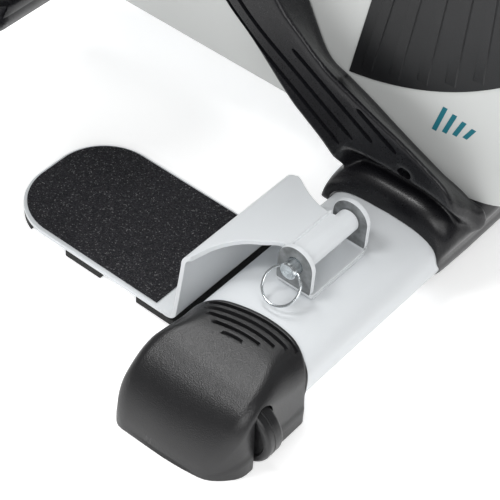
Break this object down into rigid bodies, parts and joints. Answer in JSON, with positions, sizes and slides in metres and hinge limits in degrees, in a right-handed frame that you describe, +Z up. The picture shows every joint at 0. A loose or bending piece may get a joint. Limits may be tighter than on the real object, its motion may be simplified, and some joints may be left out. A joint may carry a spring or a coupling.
{
  "type": "pedal exerciser",
  "caption": "Floor-standing pedal exerciser on two cross tubes, with strapped pedals, a housed flywheel, a sloping console and hinged foot plates.",
  "frame": {"origin": "on the floor, under the middle of the machine's overall box", "axes": "+Z up, +Y towards the seated user, X along the base tubes"},
  "size_m": [0.5588, 0.55, 0.539],
  "materials": {
    "frame_paint": "satin powder coat",
    "housing_shell": "fine satin",
    "black_abs": "fine spark-eroded grain",
    "leg_plastic": "soft gloss",
    "rubber": "matt",
    "grip_sheet": "gritted anti-slip sheet",
    "zinc": "bright zinc plate",
    "steel": "satin",
    "cast_iron": "machined rim",
    "webbing": "woven band with a light edge stitch",
    "display_glass": "polished window"
  },
  "bodies": {
    "base": {"front_base_tube": "frame_paint", "rear_base_tube": "frame_paint", "spine_beam": "frame_paint", "front_end_cap_left": "black_abs", "front_end_cap_right": "black_abs", "rear_end_cap_left": "black_abs", "rear_end_cap_right": "black_abs", "wheel_axle_left": "zinc", "wheel_axle_right": "zinc", "hinge_bracket_left": "frame_paint", "hinge_bracket_right": "frame_paint", "leg_shroud_left": "leg_plastic", "leg_shroud_right": "leg_plastic", "leg_screw_left": "zinc", "leg_screw_right": "zinc", "housing_left": "housing_shell", "housing_right": "housing_shell", "ribbed_panel_left": "black_abs", "ribbed_panel_right": "black_abs", "inner_frame": "steel", "outer_bearing": "steel", "inner_bearing": "steel", "drive_belt": "rubber", "console": "black_abs", "display_window": "display_glass", "carry_handle": "frame_paint"},
    "crankset": {"crank_shaft": "steel", "drive_pulley": "black_abs", "crank_arm_left": "steel", "crank_arm_right": "steel", "pedal_spindle_left": "zinc", "pedal_spindle_right": "zinc"},
    "left_pedal": {"pedal_left": "black_abs", "pedal_strap_left": "webbing"},
    "right_pedal": {"pedal_right": "black_abs", "pedal_strap_right": "webbing"},
    "flywheel_body": {"flywheel": "cast_iron"},
    "brake_body": {"brake_arm": "steel"},
    "knob_body": {"resistance_knob": "black_abs"},
    "mode_button_body": {"mode_button": "rubber"},
    "start_button_body": {"start_button": "rubber"},
    "left_wheel": {"transport_wheel_left": "black_abs"},
    "right_wheel": {"transport_wheel_right": "black_abs"},
    "left_foot": {"foot_plate_left": "frame_paint", "grip_sheet_left": "grip_sheet", "tip_block_left": "rubber", "middle_block_left": "rubber", "heel_block_left": "rubber"},
    "right_foot": {"foot_plate_right": "frame_paint", "grip_sheet_right": "grip_sheet", "tip_block_right": "rubber", "middle_block_right": "rubber", "heel_block_right": "rubber"},
    "left_pin": {"quick_pin_left": "zinc"},
    "right_pin": {"quick_pin_right": "zinc"},
    "left_ring": {"pin_ring_left": "zinc"},
    "right_ring": {"pin_ring_right": "zinc"}
  },
  "joints": [
    {"name": "crank_spin", "type": "hinge", "parent": "base", "child": "crankset", "pos_m": [0, 0.027, 0.25], "axis": [1, 0, 0], "continuous": true},
    {"name": "left_pedal_spin", "type": "hinge", "parent": "crankset", "child": "left_pedal", "pos_m": [-0.155, 0.08342, 0.16144], "axis": [1, 0, 0], "continuous": true},
    {"name": "right_pedal_spin", "type": "hinge", "parent": "crankset", "child": "right_pedal", "pos_m": [0.155, -0.02942, 0.33856], "axis": [1, 0, 0], "continuous": true},
    {"name": "flywheel_spin", "type": "hinge", "parent": "base", "child": "flywheel_body", "pos_m": [0.029, -0.11, 0.3], "axis": [1, 0, 0], "continuous": true},
    {"name": "knob_turn", "type": "hinge", "parent": "base", "child": "knob_body", "pos_m": [0, 0.12966, 0.3881], "axis": [0, -0.7455, -0.6665], "range_deg": [0, 270]},
    {"name": "brake_swing", "type": "hinge", "parent": "base", "child": "brake_body", "pos_m": [0.029, -0.059, 0.395], "axis": [1, 0, 0], "range_deg": [0, 2.7]},
    {"name": "mode_press", "type": "slide", "parent": "base", "child": "mode_button_body", "axis": [0, -0.7455, -0.6665], "range_m": [0, 0.0015], "stiffness_N_per_m": 300},
    {"name": "start_press", "type": "slide", "parent": "base", "child": "start_button_body", "axis": [0, -0.7455, -0.6665], "range_m": [0, 0.0015], "stiffness_N_per_m": 300},
    {"name": "left_wheel_spin", "type": "hinge", "parent": "base", "child": "left_wheel", "pos_m": [-0.244, -0.207, 0.0215], "axis": [1, 0, 0], "continuous": true},
    {"name": "right_wheel_spin", "type": "hinge", "parent": "base", "child": "right_wheel", "pos_m": [0.244, -0.207, 0.0215], "axis": [1, 0, 0], "continuous": true},
    {"name": "left_foot_fold", "type": "hinge", "parent": "base", "child": "left_foot", "pos_m": [-0.1417, -0.1764, 0.071], "axis": [1, 0, 0], "range_deg": [0, 95]},
    {"name": "right_foot_fold", "type": "hinge", "parent": "base", "child": "right_foot", "pos_m": [0.1417, -0.1764, 0.071], "axis": [1, 0, 0], "range_deg": [0, 95]},
    {"name": "left_pin_pull", "type": "slide", "parent": "base", "child": "left_pin", "axis": [-1, 0, 0], "range_m": [0, 0.062]},
    {"name": "right_pin_pull", "type": "slide", "parent": "base", "child": "right_pin", "axis": [1, 0, 0], "range_m": [0, 0.062]},
    {"name": "left_ring_swing", "type": "hinge", "parent": "left_pin", "child": "left_ring", "pos_m": [-0.173, -0.1764, 0.071], "axis": [0, 1, 0], "range_deg": [0, 110]},
    {"name": "right_ring_swing", "type": "hinge", "parent": "right_pin", "child": "right_ring", "pos_m": [0.173, -0.1764, 0.071], "axis": [0, -1, 0], "range_deg": [0, 110]}
  ],
  "couplings": [
    {"joint": "flywheel_spin", "follows": "crank_spin", "ratio": 5.235},
    {"joint": "brake_swing", "follows": "knob_turn", "ratio": 0.01}
  ]
}
